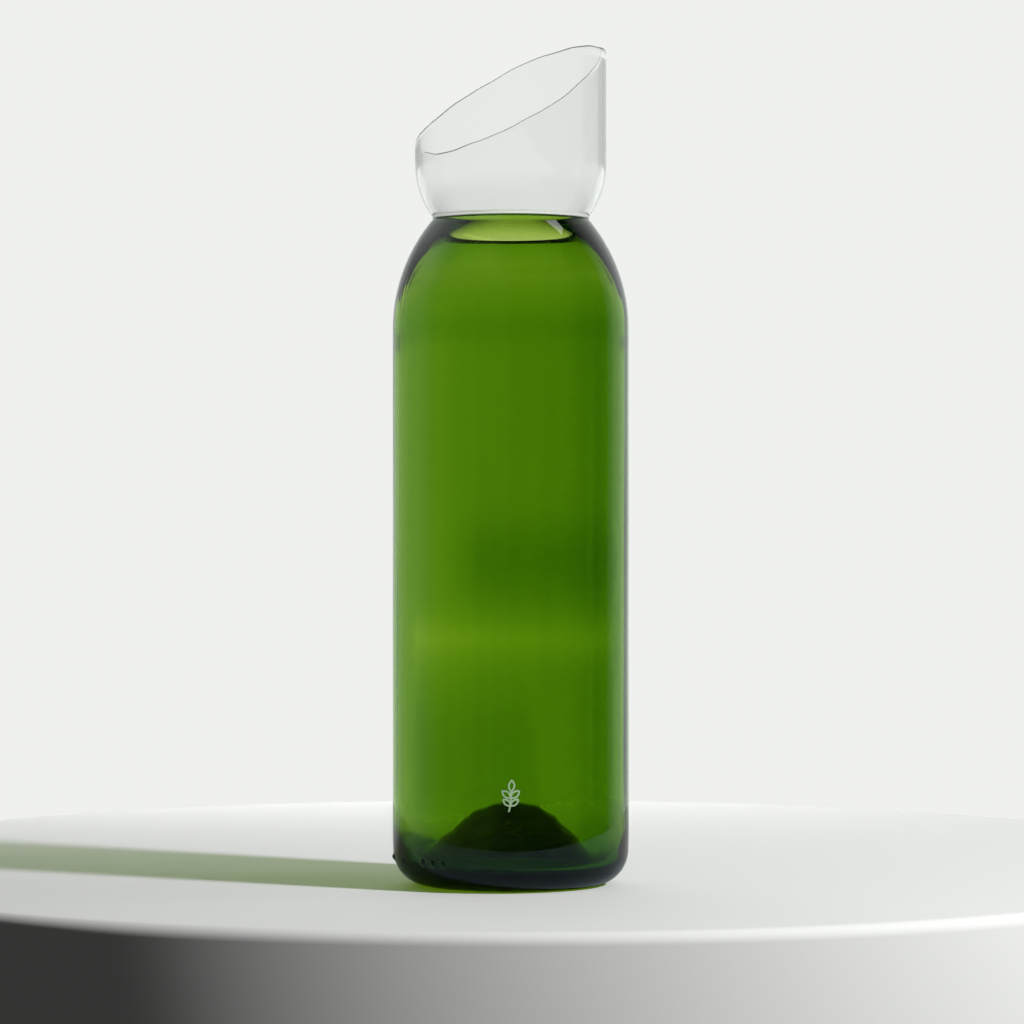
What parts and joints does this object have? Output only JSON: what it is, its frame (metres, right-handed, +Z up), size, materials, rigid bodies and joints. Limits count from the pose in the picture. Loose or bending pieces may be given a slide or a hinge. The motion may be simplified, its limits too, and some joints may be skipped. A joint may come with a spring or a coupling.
{
  "type": "table carafe",
  "caption": "Carafe made of a cut green glass wine bottle with a punted base and a clear glass collar bonded on its mouth, whose lip is cut on a slant for pouring.",
  "frame": {"origin": "centre of the ring that the bottle stands on, on the table", "axes": "+Z up along the bottle's axis; -Y is the front with the small etched mark; the collar's highest point lies between +X and -Y"},
  "size_m": [0.076, 0.076, 0.2685],
  "materials": {
    "green_glass": "smooth blown green bottle glass",
    "clear_bond": "cured clear adhesive, slightly milky",
    "clear_glass": "fire-polished clear thin glass"
  },
  "bodies": {
    "root": {"bottle_body": "green_glass", "bond_seam": "clear_bond", "spout_collar": "clear_glass"}
  },
  "joints": []
}
